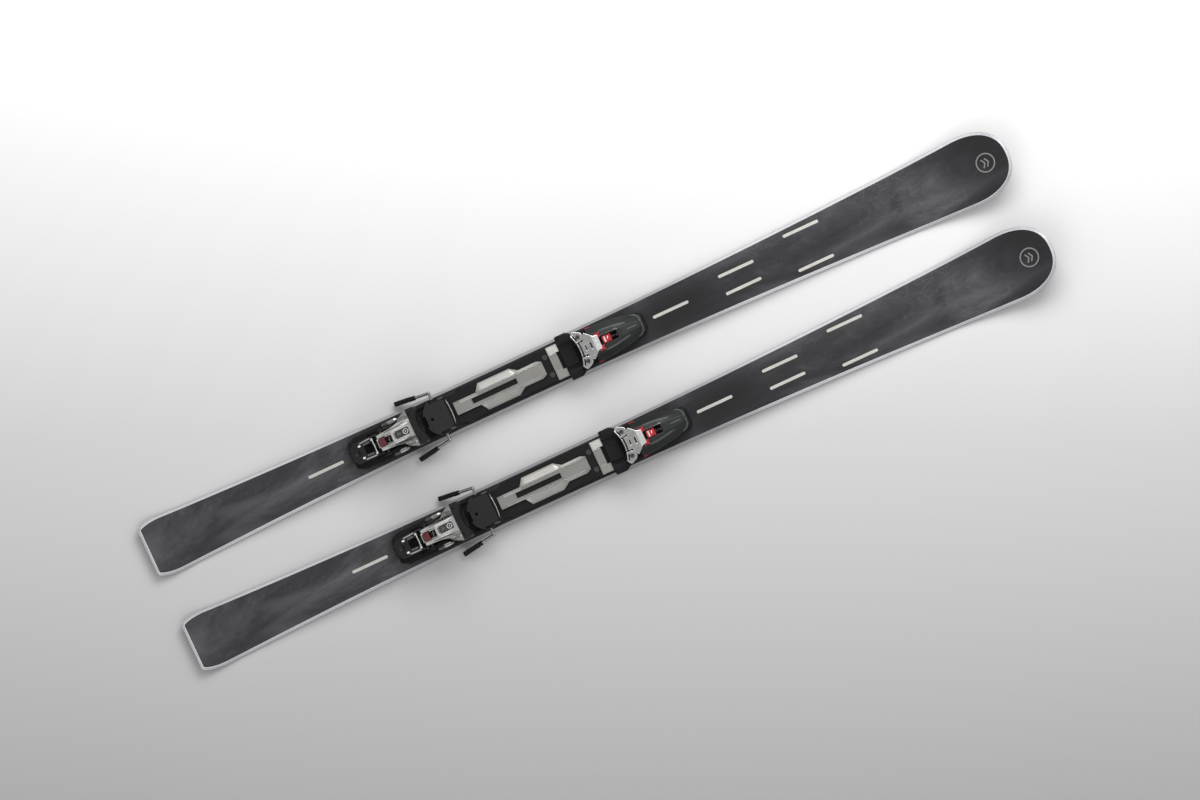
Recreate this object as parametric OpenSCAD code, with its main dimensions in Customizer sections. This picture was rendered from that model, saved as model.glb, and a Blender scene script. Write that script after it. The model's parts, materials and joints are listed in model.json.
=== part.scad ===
// Pair of alpine skis with step-in release bindings and ski brakes.
// Units are millimetres. +Y runs towards the tips, +X to the skier's right, +Z up, floor at z = 0.

/* [Skis] */
// Length of each ski, measured along the floor
ski_length = 1710; // [1600:10:1800]
// Widest width near the tip
shovel_width = 130; // [124:1:134]
// Narrowest width, under the boot
waist_width = 82; // [80:1:84]
// Widest width near the tail
tail_width = 109; // [104:1:114]
// Height of the tip's underside above the floor
tip_rise = 55; // [40:1:70]
// Height of the tail's underside above the floor
tail_rise = 12; // [6:1:18]
// Height of the unloaded base above the floor at the middle
camber = 5; // [3:0.5:6]
// Thickness of the ski at the tip and tail
end_thickness = 8; // [7:0.5:10]
// Width of the light band around the topsheet
sidewall_band = 5.5; // [4.5:0.5:6.5]
// Distance between the two skis' centre lines
ski_spacing = 188; // [180:1:260]

/* [Binding] */
// Height of the flat seat for the binding above the floor
seat_z = 22; // [21:0.5:24]
// Height of the binding plate
plate_h = 9; // [8:0.5:10]
// Width of the binding plate under the boot
plate_w = 66; // [62:1:68]
// Angle by which the heel housing stands open
heel_open = 18; // [10:1:20]
// Angle by which the brake arms hang below level
brake_drop = 26; // [20:1:26]
// Angle by which the brake pedal stands up at rest
pedal_lift = 17; // [10:1:17]
// Release value shown by the indicators, as millimetres of indicator travel
indicator_offset = 0; // [-2:0.5:2]

/* [Hidden] */
SIDES = [["left", -1], ["right", 1]];
PARTS = [
    "running_base", "steel_edges", "wood_core", "sidewalls", "topsheet", "topsheet_inlays",
    "binding_plate", "rail_covers", "screws", "toe_base", "afd_slider", "toe_housing", "toe_bridge",
    "toe_trim", "toe_wing_outer", "toe_wing_inner", "toe_spring", "toe_din_screw", "toe_indicator",
    "heel_carriage", "heel_axles", "heel_housing", "heel_jaw", "heel_lever", "heel_spring",
    "heel_din_screw", "heel_indicator", "brake_arms", "brake_pads", "brake_pedal"
];
NODES = [for (side = SIDES, part = PARTS) str(side[0], "_", part)];
node = "all";
$fn = 48;

// Running gap between pieces that move on each other
gap = 0.3;
// Radial clearance of a pin in its bore
fit = 0.05;

// --- Ski outline and side profile -------------------------------------------------------------

half_length = ski_length / 2;
waist_y = -180;
shovel_y = half_length - 85;
tail_y = -half_length + 43;
front_contact_y = 600;
rear_contact_y = -765;
contact_flat = 15;
seat_front_y = 142;
seat_rear_y = -462;
edge_w = 2.2;
edge_h = 1.8;
sheet_h = 1;
glue = 0.15;
tip_power = 2.3;

function lerp(a, b, t) = a + (b - a) * t;
function clamp(t) = min(1, max(0, t));
function smooth(t) = clamp(t) * clamp(t) * (3 - 2 * clamp(t));

// Half width of the ski between its widest points: two parabolas that meet at the waist
function side_x(y) = y > waist_y
    ? lerp(waist_width, shovel_width, pow((y - waist_y) / (shovel_y - waist_y), 2)) / 2
    : lerp(waist_width, tail_width, pow((y - waist_y) / (tail_y - waist_y), 2)) / 2;

// Height of the underside: tip rise, camber between two flat contact zones, tail rise
function base_z(y) =
    y > front_contact_y + contact_flat
        ? tip_rise * pow((y - front_contact_y - contact_flat)
            / (half_length - front_contact_y - contact_flat), 2.1)
    : y > front_contact_y - contact_flat ? 0
    : y > rear_contact_y + contact_flat ? camber_z(y)
    : y > rear_contact_y - contact_flat ? 0
    : tail_rise * pow((rear_contact_y - contact_flat - y)
        / (rear_contact_y - contact_flat + half_length), 2);
function camber_z(y) =
    let (mid = (front_contact_y + rear_contact_y) / 2,
         reach = (front_contact_y - rear_contact_y) / 2 - contact_flat,
         t = (y - mid) / reach)
    camber * pow(1 - t * t, 2);

// Height of the top surface: flat under the binding, thinning towards both ends
function top_z(y) =
    let (past = y > seat_front_y ? (y - seat_front_y) / 560 : (seat_rear_y - y) / 340)
    lerp(seat_z, base_z(y) + end_thickness, smooth(past));

tail_corner = [for (a = [90:-15:15])
    [tail_width / 2 - 12.5 * (1 - cos(a)), tail_y - (half_length + tail_y) * sin(a)]];
sidecut_y = concat(
    [tail_y, rear_contact_y - contact_flat, rear_contact_y + contact_flat],
    [for (y = [-710:45:-475]) y], [seat_rear_y], [for (y = [-420:60:120]) y], [seat_front_y],
    [for (y = [180:45:550]) y], [front_contact_y - contact_flat, front_contact_y + contact_flat],
    [for (y = [630:20:750]) y]
);
sidecut = [for (y = sidecut_y) [side_x(y), y]];
tip_round = [for (a = [0:7.5:90])
    [shovel_width / 2 * pow(cos(a), 2 / tip_power),
     shovel_y + (half_length - shovel_y) * pow(sin(a), 2 / tip_power)]];
right_edge = concat(tail_corner, sidecut, tip_round);
last = len(right_edge) - 1;
outline = concat(
    [for (i = [0:last - 1]) right_edge[i]],
    [[0, half_length]],
    [for (i = [last - 1:-1:0]) [-right_edge[i].x, right_edge[i].y]]
);
count = len(outline);

function unit(v) = v / norm(v);
function outward(a, b) = unit([b.y - a.y, a.x - b.x]);

// The outline moved in by d, with each corner mitred
function inset(d) = [for (i = [0:count - 1])
    let (n1 = outward(outline[(i + count - 1) % count], outline[i]),
         n2 = outward(outline[i], outline[(i + 1) % count]))
    outline[i] - d * (n1 + n2) / (1 + n1 * n2)];

// A layer of the ski, inset by d, between two heights. Each height is [share of the thickness, offset].
function level(y, at) = lerp(base_z(y), top_z(y), at[0]) + at[1];
module layer(d, low, high) {
    loop = inset(d);
    mirrored = function (i) count - 1 - i;
    polyhedron(
        points = concat(
            [for (p = loop) [p.x, p.y, level(p.y, low)]],
            [for (p = loop) [p.x, p.y, level(p.y, high)]]
        ),
        faces = concat(
            [for (i = [0:count - 1]) let (j = (i + 1) % count) [i, count + i, count + j, j]],
            [for (i = [0:last - 2]) [count + i, count + mirrored(i), count + mirrored(i + 1), count + i + 1]],
            [[count + last - 1, count + last + 1, count + last]],
            [for (i = [0:last - 2]) [i, i + 1, mirrored(i + 1), mirrored(i)]],
            [[last - 1, last, last + 1]]
        )
    );
}

// A closed band round the ski. Each corner of its section is [inset, share of the thickness, offset].
module band(section) {
    size = len(section);
    loops = [for (s = section) inset(s[0])];
    polyhedron(
        points = [for (j = [0:size - 1], p = loops[j])
            [p.x, p.y, level(p.y, [section[j][1], section[j][2]])]],
        faces = [for (j = [0:size - 1], i = [0:count - 1])
            let (a = j * count + i, b = j * count + (i + 1) % count,
                 c = ((j + 1) % size) * count + (i + 1) % count, d = ((j + 1) % size) * count + i)
            each [[a, d, b], [b, d, c]]]
    );
}

// --- General shapes ---------------------------------------------------------------------------

// A profile in the Y-Z plane, extruded along X about the centre line
module along_x(width) {
    rotate([90, 0, 90]) linear_extrude(width, center = true) children();
}

// A profile in the X-Z plane, extruded along Y from y0 to y1
module along_y(y0, y1) {
    translate([0, y1, 0]) rotate([90, 0, 0]) linear_extrude(y1 - y0) children();
}

// A cylinder along X from x0 to x1, with its axis at y, z
module rod_x(r, x0, x1, y, z) {
    translate([x0, y, z]) rotate([0, 90, 0]) cylinder(r = r, h = x1 - x0);
}

// A cylinder along Y from y0 to y1, with its axis at x, z
module rod_y(r, y0, y1, x, z) {
    translate([x, y0, z]) rotate([-90, 0, 0]) cylinder(r = r, h = y1 - y0);
}

// A flat plate from z0 to z1 whose outline is a list of [half width, y], mirrored about the centre line
module plate(stations, z0, z1) {
    translate([0, 0, z0]) linear_extrude(z1 - z0)
        polygon(concat(stations, [for (i = [len(stations) - 1:-1:0]) [-stations[i].x, stations[i].y]]));
}

module box(x0, x1, y0, y1, z0, z1) {
    translate([x0, y0, z0]) cube([x1 - x0, y1 - y0, z1 - z0]);
}

module both_sides() {
    children();
    mirror([1, 0, 0]) children();
}

function arc(centre, r, from, to, steps) = [for (i = [0:steps])
    let (a = lerp(from, to, i / steps)) centre + r * [cos(a), sin(a)]];

// A helical spring along Y, as a swept tube
module coil(r, wire, y0, y1, z, turns) {
    steps = 14;
    sides = 6;
    rings = turns * steps;
    centre = function (i) let (a = 360 * i / steps)
        [r * cos(a), lerp(y0 + wire, y1 - wire, i / rings), z + r * sin(a)];
    polyhedron(
        points = [for (i = [0:rings], k = [0:sides - 1])
            let (a = 360 * i / steps, b = 360 * k / sides, out = r + wire * cos(b))
            [out * cos(a), centre(i).y + wire * sin(b), z + out * sin(a)]],
        faces = concat(
            [[for (k = [0:sides - 1]) k]],
            [[for (k = [sides - 1:-1:0]) rings * sides + k]],
            [for (i = [0:rings - 1], k = [0:sides - 1])
                let (a = i * sides + k, b = i * sides + (k + 1) % sides)
                each [[a, a + sides, b], [b, a + sides, b + sides]]]
        )
    );
}

// --- Ski ----------------------------------------------------------------------------------------

module running_base() {
    color("#1a1a1d") layer(edge_w, [0, 0], [0, edge_h]);
}

module steel_edges() {
    color("#b9bcc2") band([[0, 0, 0], [edge_w, 0, 0], [edge_w, 0, edge_h], [0, 0, edge_h]]);
}

module wood_core() {
    color("#c9a875") layer(sidewall_band, [0, edge_h + glue], [1, -sheet_h]);
}

module sidewalls() {
    color("#c6c8cc") band([
        [0.3, 0, edge_h], [sidewall_band, 0, edge_h], [sidewall_band, 1, 0],
        [sidewall_band - 0.9, 1, 0], [0.6, 0.5, 0]
    ]);
}

module topsheet() {
    color("#2b2b30") layer(sidewall_band, [1, -sheet_h], [1, 0]);
}

inlay_l = 70;
inlay_w = 5.5;
// Centre of each inlay: distance from the centre line, and y
INLAYS = [[0, -500], [0, 184], [17, 321], [-17, 321], [34, 457], [-34, 457]];

module topsheet_inlays() {
    run = inlay_l / 2 - inlay_w / 2;
    color("#b8b6b0") for (c = INLAYS) {
        slope = atan2(top_z(c.y + run) - top_z(c.y - run), 2 * run);
        translate([c.x, c.y, (top_z(c.y + run) + top_z(c.y - run)) / 2 - 0.5]) rotate([slope, 0, 0]) {
            translate([-inlay_w / 2, -run, 0]) cube([inlay_w, 2 * run, 0.8]);
            for (end = [-1, 1]) translate([0, end * run, 0]) cylinder(r = inlay_w / 2, h = 0.8);
        }
    }
}

// --- Binding plate and its covers ---------------------------------------------------------------

plate_z = seat_z + plate_h;
rail_x = 27;
web_x = 23;
rail_rear_y = -448;
rail_front_y = -236;
cover_h = 4.8;
PLATE_SCREWS = [[14, -430], [14, -262], [17, -58], [17, 70]];

module binding_plate() {
    half = plate_w / 2;
    color("#1c1c1e") difference() {
        plate([[rail_x - 5, rail_rear_y], [rail_x, rail_rear_y + 7], [rail_x, rail_front_y],
               [half, rail_front_y + 9], [half, 24], [half - 2, 60], [20, 128], [13, 134]],
              seat_z, plate_z);
        // Grooves that the heel carriage hooks into
        both_sides() box(web_x, rail_x + 1, rail_rear_y - 1, rail_front_y, seat_z - 1, plate_z - 4);
        // Counterbores and shank holes of the plate screws
        for (s = PLATE_SCREWS) both_sides() {
            translate([s.x, s.y, plate_z - 3.4]) cylinder(r = 4.8, h = 5);
            translate([s.x, s.y, seat_z - 1]) cylinder(r = 2.6, h = plate_h);
        }
        // Chamfers along the top edges under the boot
        both_sides() along_y(rail_front_y + 20, 20)
            polygon([[half - 3, plate_z + 0.01], [half + 1, plate_z + 0.01], [half + 1, plate_z - 4]]);
    }
}

// Section of the light metal covers: flat crown with a rib along each side, then sloping shoulders
module cover_section(crown) {
    low = plate_z;
    top = plate_z + cover_h;
    polygon(concat(
        [[-34, low], [34, low], [34, low + 1.2]],
        [[crown + 1.4, top - 0.6], [crown + 0.9, top], [crown - 0.9, top], [crown - 1.4, top - 0.7]],
        [[-crown + 1.4, top - 0.7], [-crown + 0.9, top], [-crown - 0.9, top], [-crown - 1.4, top - 0.6]],
        [[-34, low + 1.2]]
    ));
}

module rail_covers() {
    color("#aeb0ac") {
        // Long centre cover with its waist slot
        difference() {
            intersection() {
                plate([[12.2, -243], [12.2, -197], [26, -188], [26, -126], [16.6, -112], [16.6, -76],
                       [12.5, -67]], plate_z, plate_z + cover_h);
                along_y(-260, -60) cover_section(11);
            }
            box(-5, 5, -209, -121, plate_z - 1, plate_z + cover_h + 1);
        }
        // U-shaped cover behind the toe, open towards it
        difference() {
            intersection() {
                plate([[31.5, -51], [31.5, -30]], plate_z, plate_z + cover_h);
                along_y(-60, -20) cover_section(14);
            }
            box(-16.5, 16.5, -36, -20, plate_z - 1, plate_z + cover_h + 1);
        }
    }
}

module screw(head_r, head_h, shank_r, shank_l) {
    difference() {
        union() {
            translate([0, 0, -head_h]) cylinder(r = head_r, h = head_h);
            translate([0, 0, -shank_l]) cylinder(r = shank_r, h = shank_l);
        }
        for (a = [0, 90]) rotate([0, 0, a])
            translate([-head_r * 0.6, -0.6, -head_h * 0.55]) cube([head_r * 1.2, 1.2, head_h]);
    }
}

wing_pin = [23.5, 10.5];
wing_pin_r = 3;
wing_top = 66;

module screws() {
    color("#8b8d90") {
        for (s = PLATE_SCREWS) both_sides()
            translate([s.x, s.y, plate_z - 0.6]) screw(4.5, 2.8, 2.5, plate_h - 0.6);
        // Shouldered pivot screws of the toe wings
        both_sides() translate([wing_pin.x, wing_pin.y, wing_top + 2]) {
            difference() {
                union() {
                    translate([0, 0, -1.7]) cylinder(r = 4, h = 1.7);
                    translate([0, 0, plate_z - wing_top - 2]) cylinder(r = wing_pin_r, h = wing_top + 1 - plate_z);
                }
                translate([0, 0, -1.2]) cylinder(r = 2, h = 3, $fn = 6);
            }
        }
    }
}

// --- Toe piece ----------------------------------------------------------------------------------

afd_y = [-29, 0.5];
afd_half = 42.5;
afd_top = 41;
afd_travel = 7;
slider_half = 16.5;
toe_base_z = 37;
body_top = 64;
toe_spring_z = 46.5;
chamber_r = 8.4;
window_y = [45, 79];
window_half = 7.6;
screw_front_y = 124;

module toe_base() {
    runner = slider_half + 1.5 + afd_travel + 2;
    color("#1b1c1d") difference() {
        union() {
            // Bridge across the ski that carries the anti-friction slider
            plate([[afd_half - 1.5, afd_y[0]], [afd_half, afd_y[0] + 3], [afd_half, afd_y[1] - 8],
                   [afd_half - 5, afd_y[1]]], plate_z, afd_top - 3);
            // Foot of the toe piece
            plate([[33, afd_y[1] - 1], [34.5, 27], [32.5, 55], [30.5, 82], [22, 114], [18, 127], [12, 131]],
                  plate_z, toe_base_z);
            // Low side ears
            both_sides() translate([0, 0, afd_top - 4]) linear_extrude(2.5)
                polygon([[29, -26], [afd_half - 1, -24], [afd_half - 1, -12], [38, -3], [29, -3]]);
        }
        // Channel that the slider runs in
        box(2 - runner, runner - 2, afd_y[0] - 1, -2.5, plate_z + 3.4, afd_top + 1);
        box(-runner, runner, -22, -9, plate_z + 3.4, plate_z + 5.4);
        both_sides() translate([wing_pin.x, wing_pin.y, plate_z - 1]) cylinder(r = wing_pin_r, h = 20);
        for (s = PLATE_SCREWS) if (s.y > 0)
            both_sides() translate([s.x, s.y, plate_z - 1]) cylinder(r = 4.8, h = 3);
    }
}

module afd_slider() {
    color("#232425") difference() {
        union() {
            box(-slider_half, slider_half, -28.5, -3.2, plate_z + 3.4 + gap, afd_top);
            box(-slider_half - 1.5, slider_half + 1.5, -21.5, -9.5, plate_z + 3.4 + gap, plate_z + 5.4 - gap);
        }
        // Shallow grooves across the sliding face
        for (y = [-24:5:-8]) box(-slider_half - 1, slider_half + 1, y, y + 1.6, afd_top - 1.2, afd_top + 1);
    }
}

// Height and half width of the toe housing along its length
function nose_z(y) = lerp(body_top, 53, smooth((y - 70) / 62));
function nose_x(y) = lerp(32, 18.5, pow(clamp((y - 28) / 98), 2.2));

// Section of the housing: lower side wall, sloping shoulder, raised spine
function nose_section(y) =
    let (w = nose_x(y), h = nose_z(y), end = clamp((y - 120) / 9), e = 3.5 * end)
    [for (c = [[-1, 0, 0], [-1, 0.42, 0], [-0.66, 1, -5], [-0.4, 1, -1.5], [-0.3, 1, 0],
               [0.3, 1, 0], [0.4, 1, -1.5], [0.66, 1, -5], [1, 0.42, 0], [1, 0, 0]])
        [c[0] * (w - e), y, lerp(toe_base_z, h - e, c[1]) + c[2] * (1 - 0.5 * end)]];

module toe_housing() {
    cuts = [28, 44, 60, 76, 88, 100, 110, 119, 125, 129];
    size = 10;
    color("#2a2c2b") difference() {
        union() {
            // Tapered nose, as a shell of stacked sections
            polyhedron(
                points = [for (y = cuts) each nose_section(y)],
                faces = concat(
                    [[for (k = [0:size - 1]) k]],
                    [[for (k = [size - 1:-1:0]) (len(cuts) - 1) * size + k]],
                    [for (i = [0:len(cuts) - 2], k = [0:size - 1])
                        let (a = i * size + k, b = i * size + (k + 1) % size)
                        each [[a, a + size, b], [b, a + size, b + size]]]
                )
            );
            // Chin between the wings
            plate([[12.4, 9], [12.4, 30]], toe_base_z, body_top - 10);
        }
        // Spring chamber, screw bore and indicator window
        rod_y(chamber_r, 50, 100, 0, toe_spring_z);
        rod_y(4.5, 98, 140, 0, toe_spring_z);
        box(-window_half, window_half, window_y[0], window_y[1], toe_spring_z + 6, body_top + 2);
        // Grooves either side of the spine
        both_sides() translate([17, 52, 61]) rotate([-3, 0, -8]) cube([1.2, 44, 6]);
        // Room that the wings turn in
        both_sides() translate([wing_pin.x, wing_pin.y, toe_base_z - 1]) cylinder(r = 14.6, h = 40);
    }
}

lip_r = 70;
lip_y = 4.8;
lip_w = 2.2;
lug_z = afd_top + 19.5;

// Ring-shaped pocket that leaves a thin lip along the curve of the boot's toe
module lip_pocket(low) {
    translate([0, lip_y - lip_r, low]) difference() {
        cylinder(r = lip_r + lip_w + 3, h = 20, $fn = 180);
        translate([0, 0, -1]) cylinder(r = lip_r + lip_w, h = 22, $fn = 180);
    }
}

module toe_bridge() {
    color("#c9cac6") difference() {
        translate([0, 0, body_top - 10]) linear_extrude(14)
            polygon([[-12.4, 2], [12.4, 2], [12.4, 17], [20, 17], [26, 23.5], [14.5, 36], [13, 44.5],
                [-13, 44.5], [-14.5, 36], [-26, 23.5], [-20, 17], [-12.4, 17]]);
        // Curve of the boot's toe, and the pocket behind its lip
        translate([0, lip_y - lip_r, 40]) cylinder(r = lip_r, h = 40, $fn = 180);
        lip_pocket(body_top - 2);
        // Room for the wings' bosses, and the seat over the housing
        both_sides() translate([wing_pin.x, wing_pin.y, 40]) cylinder(r = 14.1, h = 24.6);
        both_sides() translate([wing_pin.x, wing_pin.y, 40]) cylinder(r = 9.3 + gap, h = 40);
        box(-30, 30, 27.9, 50, body_top - 20, body_top);
        // Sloping front and two slots across the crown
        along_x(60) polygon([[33, body_top + 4.01], [50, body_top + 4.01], [50, body_top]]);
        box(-5.5, 5.5, 16, 18.5, body_top + 2, body_top + 6);
        box(-7, 7, 26, 29, body_top + 2, body_top + 6);
    }
}

module toe_trim() {
    color("#c0202c") {
        // Forked clips on the housing, either side of the bridge's front
        translate([0, 0, body_top]) linear_extrude(1.6) both_sides()
            polygon([[13.2, 44.6], [15.4, 38], [17.4, 39.5], [15.4, 44], [17.2, 48.5], [15.4, 50], [13, 47.6],
                [9.4, 49.6], [8.2, 47.6], [8.2, 44.8]]);
        // Side markers on the foot
        both_sides() translate([0, 0, toe_base_z]) linear_extrude(2.2)
            polygon([[32.3, 28.4], [34.4, 28.6], [33.6, 39], [32.2, 39]]);
    }
}

// The right wing, seen from above: boss, arm and rounded tip, cut by the curve of the boot's toe
module toe_wing() {
    tip = [29.9, 5.5];
    tip_r = 5.6;
    boss_r = 9.3;
    color("#cfd0cc") difference() {
        union() {
            translate([0, 0, afd_top + 1.5]) linear_extrude(wing_top - afd_top - 1.5) polygon(concat(
                arc(wing_pin, boss_r, 40, 175, 12),
                [[13.4, 3]], [[22, -3], [28, -3.6]],
                arc(tip, tip_r, -80, 40, 8)
            ));
        }
        // Seat of the boot's toe lug under the lip
        translate([0, lip_y + 6 - lip_r, afd_top]) cylinder(r = lip_r, h = lug_z - afd_top, $fn = 180);
        translate([0, lip_y - lip_r, lug_z - 1]) cylinder(r = lip_r, h = 20, $fn = 180);
        lip_pocket(wing_top - 4);
        translate([wing_pin.x, wing_pin.y, 30]) cylinder(r = wing_pin_r + fit, h = 60);
    }
}

module toe_spring() {
    color("#9a9c9f") coil(6.4, 1.3, 60, 98, toe_spring_z, 7);
}

module toe_din_screw() {
    color("#8b8d90") difference() {
        union() {
            rod_y(4.2, 103, screw_front_y, 0, toe_spring_z);
            rod_y(3, 52, 104, 0, toe_spring_z);
        }
        // Slot for the screwdriver
        box(-0.7, 0.7, screw_front_y - 2.5, screw_front_y + 1, toe_spring_z - 5, toe_spring_z + 5);
    }
}

module toe_indicator() {
    mid = 58 + indicator_offset;
    color("#d0323a") difference() {
        union() {
            box(-6.6, 6.6, mid - 8, mid + 8, toe_spring_z + 8.4, body_top - 2.4);
            box(-4, 4, mid - 5.2, mid - 1.6, toe_spring_z + 4.6, toe_spring_z + 9);
        }
        for (y = [-4:4:4]) box(-7, 7, mid + y - 0.4, mid + y + 0.4, body_top - 3, body_top);
    }
}

// --- Heel piece ---------------------------------------------------------------------------------

// Main axle of the heel housing, and the lever's pivot with the heel closed
heel_axle = [-384, 50];
lever_axle = [-391, 56.2];
heel_axle_r = 3;
lever_axle_r = 2.5;
carriage_z = plate_z + 5.5;
carriage_y = [-441, -249];
cheek_x = [20, 24.5];
brake_axle = [-275, 37.2];
brake_wire_r = 2.75;
pedal_axle = [-260, 38.2];
pedal_axle_r = 2;
pedal_half = 27.4;

// Turns a point or a piece from the closed heel to the open one
function turned(p, c, a) = let (d = p - c)
    c + [d.x * cos(a) - d.y * sin(a), d.x * sin(a) + d.y * cos(a)];
lever_pivot = turned(lever_axle, heel_axle, heel_open);
module opened() {
    translate([0, heel_axle.x, heel_axle.y]) rotate([heel_open, 0, 0])
        translate([0, -heel_axle.x, -heel_axle.y]) children();
}

module heel_carriage() {
    low = seat_z + 1;
    color("#222324") difference() {
        union() {
            plate([[24, carriage_y[0]], [30.3, carriage_y[0] + 7], [30.3, -372], [33.5, -350], [33.5, -262],
                   [31, -257]], plate_z + gap, carriage_z);
            // Hooks under the rail's flanges
            both_sides() {
                box(rail_x + gap, 30.3, carriage_y[0] + 7, -257, low + 1, carriage_z);
                box(web_x + gap, 30.3, carriage_y[0] + 7, -257, low, plate_z - 4 - gap);
            }
            // Front cross member, raised over the centre cover
            plate([[31, -254.4], [29, carriage_y[1]]], plate_z + cover_h + 0.5, plate_z + cover_h + 5);
            both_sides() box(27.5, 31, -262, carriage_y[1] - 4, carriage_z - 1, plate_z + cover_h + 5);
            // Cheeks that hold the main axle
            both_sides() translate([(cheek_x[0] + cheek_x[1]) / 2, 0, 0]) along_x(cheek_x[1] - cheek_x[0])
                polygon(concat([[-410, carriage_z - 1], [-344, carriage_z - 1], [-350, 44]],
                    arc(heel_axle, 9, 40, 150, 8)));
            // Shoulders ahead of the axle
            both_sides() translate([28, 0, 0]) along_x(7.2)
                polygon([[-380, carriage_z - 1], [-343, carriage_z - 1], [-343, 46], [-352, 49.5], [-364, 48]]);
            // Bearing blocks of the brake arms, and ears of the pedal
            both_sides() box(28, 33.5, -284, -266, carriage_z - 1, brake_axle.y + 5.6);
            both_sides() box(27.8, 31, -266.5, -254, carriage_z - 1, pedal_axle.y + 4);
            // Rear stop under the lever
            plate([[10, -438], [12, -430], [12, -422]], carriage_z - 1, carriage_z + 6.5);
        }
        rod_x(heel_axle_r, -40, 40, heel_axle.x, heel_axle.y);
        rod_x(brake_wire_r + fit, -40, 40, brake_axle.x, brake_axle.y);
        rod_x(pedal_axle_r, -40, 40, pedal_axle.x, pedal_axle.y);
        // Trough under the pedal and over the centre cover, and a window over the rail
        box(-27.6, 27.6, -309, -256.5, plate_z - 1, carriage_z + 1);
        box(-9, 9, -415, -345, plate_z - 1, carriage_z + 1);
        // Room over the plate's screws while the carriage slides
        both_sides() box(8, 19.5, -446, -414, plate_z - 1, plate_z + 1.2);
    }
}

module heel_axles() {
    color("#a7a9ac") {
        rod_x(heel_axle_r, -cheek_x[1] - 0.5, cheek_x[1] + 0.5, heel_axle.x, heel_axle.y);
        rod_x(pedal_axle_r, -31.8, 31.8, pedal_axle.x, pedal_axle.y);
    }
}

heel_spring_z = 57.5;
shell_front = -316;
jaw_front = -299;
cup = [0, -273.5];
cup_r = 36;

module heel_housing() {
    color("#c4c6c2") opened() difference() {
        union() {
            // Raised ridge with the windows
            intersection() {
                along_x(80) polygon([[-391, 44], [-396, 51], [-395, 62], [-388, 69], [-356, 75], [-328, 77.5],
                    [shell_front, 76], [shell_front, 45], [-350, 44]]);
                plate([[12.5, -397], [15, -391], [15.8, -378], [16.6, -358], [19.4, -346], [24, -330],
                       [27, shell_front]], 40, 80);
                along_y(-400, -310) polygon([[-34, 40], [34, 40], [34, 58], [19, 70], [12, 78], [-12, 78],
                    [-19, 70], [-34, 58]]);
            }
            // Low flares either side, ahead of the axle
            intersection() {
                plate([[19, -348], [27.5, -338], [34.5, -322], [34.5, shell_front]], 46, 67);
                along_x(80) polygon([[-348, 46], [-348, 55], [-334, 62], [shell_front, 67], [shell_front, 46]]);
            }
            // Pivot studs of the lever
            rod_x(lever_axle_r, -19.3, 19.3, lever_axle.x, lever_axle.y);
        }
        // Main bore
        rod_x(heel_axle_r + fit, -40, 40, heel_axle.x, heel_axle.y);
        // Spring chamber, screw bore and the two windows
        rod_y(10.2, -389, -320, 0, heel_spring_z);
        rod_y(4.3, -400, -380, 0, heel_spring_z);
        box(-8.4, 8.4, -391, -360, heel_spring_z + 8, 90);
        box(-6.8, 6.8, -354, -322.5, 73, 90);
        // Side flutes
        both_sides() translate([17.5, -345, 68]) rotate([0, 40, 6]) cube([6, 30, 1.8], center = true);
    }
}

module heel_jaw() {
    color("#202122") opened() difference() {
        union() {
            // Upper cup that holds the boot's heel ledge
            translate([0, 0, 60]) linear_extrude(17) polygon(concat(
                [[-35, -325], [-31, -331], [31, -331], [35, -325]],
                arc([31, jaw_front - 4], 4, 0, 90, 4), arc([-31, jaw_front - 4], 4, 90, 180, 4)));
            // Back wall and step-in spur
            translate([0, 0, 44]) linear_extrude(17) polygon(
                [[-33, shell_front + gap], [33, shell_front + gap], [34, -312], [32, -306], [-32, -306], [-34, -312]]);
            plate([[9, -314], [9, -306], [7, -304]], 43.4, 47);
        }
        // Seat of the shell, and room for the boot's heel lug below the lip
        box(-40, 40, -360, shell_front + 0.1, 40, 90);
        translate([cup.x, cup.y, 47]) cylinder(r = cup_r, h = 25, $fn = 120);
        translate([cup.x, cup.y, 43]) cylinder(r = cup_r - 4, h = 4.1, $fn = 120);
        // Lip hollowed to the boot's heel, finger groove and two side pockets
        translate([0, -262, 71]) cylinder(r = 43, h = 10, $fn = 120);
        both_sides() box(22, 28, -314, -311, 75, 80);
    }
}

module heel_lever() {
    color("#1f2021") difference() {
        union() {
            // Fork arms beside the shell
            both_sides() translate([17.6, 0, 0]) along_x(2.8)
                polygon(concat(arc(lever_pivot, 5.4, -110, 60, 10), [[-401, 64], [-416, 63], [-416, 54.5], [-403, 54]]));
            // Handle, drawn as it lies with the heel open
            along_x(38) polygon([[-401, 64], [-413, 63.4], [-436, 58.4], [-448.5, 53], [-451, 49], [-448, 46],
                [-430, 50], [-413, 54.6], [-402.6, 57.2]]);
        }
        rod_x(lever_axle_r + fit, -30, 30, lever_pivot.x, lever_pivot.y);
        // Rounded end
        both_sides() translate([19, -451.5, 30]) rotate([0, 0, 40]) box(-8, 10, -20, 8, 0, 40);
        // Dimple for the tip of a ski pole, and the opening over the release screw
        translate([0, -437, 62]) sphere(r = 7);
        box(-8, 8, -421, -405, 40, 70);
    }
}

module heel_spring() {
    color("#9a9c9f") opened() coil(7.9, 1.5, -371, -321, heel_spring_z, 7);
}

module heel_din_screw() {
    color("#8b8d90") opened() difference() {
        union() {
            rod_y(3.9, -399.5, -391, 0, heel_spring_z);
            rod_y(3, -392, -340, 0, heel_spring_z);
        }
        box(-0.7, 0.7, -400, -397.4, heel_spring_z - 5, heel_spring_z + 5);
    }
}

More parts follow.
